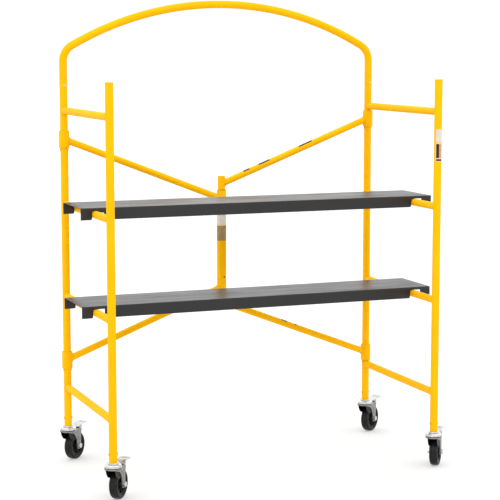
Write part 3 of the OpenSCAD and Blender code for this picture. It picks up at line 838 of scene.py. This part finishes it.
def caster_pins(end, place, body, steel):
    """Axle bolt with its head, washer and nut, and the pedal's pin with its two heads."""
    build = Build()
    axle = across_trail(place, TRAIL, AXLE_Z)
    bolt = mm([(0, -27.4), (4.4, -27.4, 0.6), (5, -26.6, 0.3), (5, 23), (0, 23)])
    build.lathe(fillet(bolt, 0.1 * MM, 3, closed=False), axle, 36, closed=False)
    hexagon(build, 10.4 * MM, 23.2 * MM, 30 * MM, axle)
    hexagon(build, 10.4 * MM, 23.2 * MM, 30 * MM, axle @ Matrix.Rotation(math.pi, 4, "X"), 4.9 * MM)
    pin = mm([(0, -24), (3, -24, 1.2), (5, -22.8, 0.8), (5, -22.1, 0.2), (3, -22.1), (3, 22.1),
        (5, 22.1, 0.2), (5, 22.8, 0.8), (3, 24, 1.2), (0, 24)])
    build.lathe(fillet(pin, 0.1 * MM, 3, closed=False),
        across_trail(place, PEDAL_PIN_X, PEDAL_PIN_Z), 36, closed=False)
    build.done(f"caster_bolts_{end}", body, steel, (f"caster_pins_{end}",))


def wheel(end, place, body, rubber_look, hub_look):
    """Tyre with a crowned tread and two fine grooves, on a ribbed hub."""
    axle = across_trail(place, TRAIL, AXLE_Z)
    tyre = [(40.1, 12.6), (42, 15.8, 1), (44, 16.4, 0.8), (45.2, 15.8, 0.5), (46.2, 16.5, 0.8),
        (51, 16.2, 5), (54.4, 11.5, 4), (54.8, 6.2, 0.3), (53.8, 5.6, 0.3), (53.8, 4.6, 0.3),
        (54.95, 4.0, 0.3)]
    build = Build()
    build.lathe(fillet(mm(mirrored(tyre)), 0.3 * MM, 4), axle, 128)
    build.done(f"tyre_{end}", body, rubber_look, (f"caster_tyre_{end}",))
    hub = [(5.2, 18.6), (12, 18.6, 1), (13, 17.6, 0.6), (15.4, 7, 2), (32, 6, 3), (33.4, 12.6, 1),
        (35, 13.2, 0.8), (40, 13.2, 0.6)]
    build = Build()
    build.lathe(fillet(mm(mirrored(hub)), 0.3 * MM, 4), axle, 96)
    rib = fillet(mm([(13, -1.3), (33.6, -1.0), (33.6, 1.0), (13, 1.3)]), 0.3 * MM, 2)
    for side in (-1, 1):
        for k in range(8):
            spin = axle @ Matrix.Rotation(2 * math.pi * k / 8, 4, "Z")
            low, high = sorted((side * 4 * MM, side * 11.4 * MM))
            build.plate(rib, low, high, spin, 0.4 * MM)
    build.done(f"hub_{end}", body, hub_look, (f"caster_hub_{end}",))


def pedal(end, place, body, steel):
    """A bent sheet brake pedal: barrel, rising web, foot plate with grip ribs, and brake shoe."""
    build = Build()
    half_width = 18.6 * MM
    barrel = ring_outline(5 * MM, 3.2 * MM, -half_width, half_width, 0.4 * MM)
    build.lathe(barrel, across_trail(place, PEDAL_PIN_X, PEDAL_PIN_Z), 40)
    web = mm([(58, 128.6), (80, 136.6, 6), (84, 136.6), (84, 138.9), (79, 138.9, 8), (58, 131.9)])
    side_plate(build, fillet(web, 0.4 * MM, 4), -half_width, half_width, place, 0.4 * MM)
    foot = mm([(80, -18), (92, -21, 8), (118, -21, 9), (118, 21, 9), (92, 21, 8), (80, 18)])
    build.plate(fillet(foot, 2 * MM, 6), 136.5 * MM, 139 * MM, place, 0.9 * MM)
    for x in (97, 103, 109):
        build.sweep([(x * MM, y * MM, 138.8 * MM) for y in (-13, -12, -10, 0, 10, 12, 13)],
            lambda i: (0.3, 0.8, 1.0, 1.0, 1.0, 0.8, 0.3)[i] * MM, 10, place=place)
    shoe = mm([(57, 123), (58, 125), (62.5, 121), (66, 116.5), (64.5, 114), (62.5, 114.4),
        (59, 119)])
    side_plate(build, fillet(shoe, 0.4 * MM, 3)[::-1], -18 * MM, 18 * MM, place, 0.4 * MM)
    build.done(f"pedal_{end}", body, steel, (f"brake_pedal_{end}",))


# ---------- everything in its place ----------

def smooth_node(node, material):
    """A CAD node that keeps its own mesh: smooth round faces, sharp rims and a finish."""
    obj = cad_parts[node]
    obj.data.materials.clear()
    obj.data.materials.append(material)
    obj.data.polygons.foreach_set("use_smooth", [True] * len(obj.data.polygons))


make_camera()
make_floor()
make_light()

paint, coat, tyre_look, hub_look = yellow_paint(), deck_coat(), rubber(), hub_plastic()
steel = zinc("zinc_bright", (0.50, 0.50, 0.49), (0.72, 0.72, 0.71))
# A darker copy of the zinc for the forks: painted shade, standing in for the dark reflections their
# legs show.
steel_painted_shade = zinc("zinc_painted_shade", (0.20, 0.20, 0.195), (0.32, 0.32, 0.31))
# A half-dark copy of the zinc for the pedals: painted shade, so the pale pedal stands out from the
# bright head.
steel_painted_half_shade = zinc("zinc_painted_half_shade", (0.34, 0.34, 0.335), (0.54, 0.54, 0.53))
gold_steel = zinc("zinc_yellow_passivated", (0.70, 0.36, 0.01), (0.85, 0.46, 0.02))
cream = sticker("sticker_cream", (0.58, 0.51, 0.44), (0.68, 0.62, 0.54))
brown = sticker("sticker_brown", (0.030, 0.008, 0.001), (0.085, 0.024, 0.003))
tan = sticker("sticker_tan", (0.22, 0.165, 0.07), (0.40, 0.27, 0.11))
field = sticker("sticker_field", (0.42, 0.22, 0.10), (0.62, 0.40, 0.24))
dark = sticker("sticker_dark", (0.02, 0.012, 0.006), (0.05, 0.03, 0.012))

for side, body in (("left", "left_frame"), ("right", "right_frame")):
    front_post(f"post_front_{side}", body, paint)
    frame_welds(side, body, paint)
    for level in RUNGS:
        smooth_node(f"rung_{side}_{level}", paint)
    smooth_node(f"post_back_{side}", paint)
    smooth_node(f"rivets_{side}", gold_steel)
    smooth_node(f"swivel_balls_{side}", steel)
    smooth_node(f"snap_button_{side}", steel)
    for level in ("upper", "lower"):
        upright_tube(f"collar_{side}_{level}", f"brace_{side}", SLEEVE_BORE, paint, 1.4 * MM)
        smooth_node(f"brace_{side}_{level}", paint)
upright_tube("brace_sleeve", "brace_left", SLEEVE_BORE, paint, 0.8 * MM)
upright_tube("brace_hinge_tube", "brace_right", HINGE_BORE, paint)
brace_welds("left", "brace_sleeve", "brace_left", paint)
brace_welds("right", "brace_hinge_tube", "brace_right", paint)
smooth_node("hinge_rings", gold_steel)
guardrail(paint)
for node in ("guardrail_spigots", "snap_springs"):
    smooth_node(node, steel)
sleeve_plug(hub_look)
deck("deck_upper", "upper_deck", coat)
deck("deck_lower", "lower_deck", coat)
stickers(cream, brown, field, tan, dark)
for end in ENDS:
    place = caster_place(end)
    stem_body = "left_frame" if end.endswith("left") else "right_frame"
    caster_head(end, place, stem_body, steel)
    # The fork in the darker zinc copy: painted shade.
    caster_fork(end, place, f"caster_{end}", steel_painted_shade)
    # Black sheets inside the fork: painted shade.
    caster_shade_sheets(end, place, f"caster_{end}", hub_look)
    caster_pins(end, place, f"caster_{end}", steel)
    wheel(end, place, f"wheel_{end}", tyre_look, hub_look)
    # The pedal in the half-dark zinc copy: painted shade.
    pedal(end, place, f"pedal_{end}", steel_painted_half_shade)
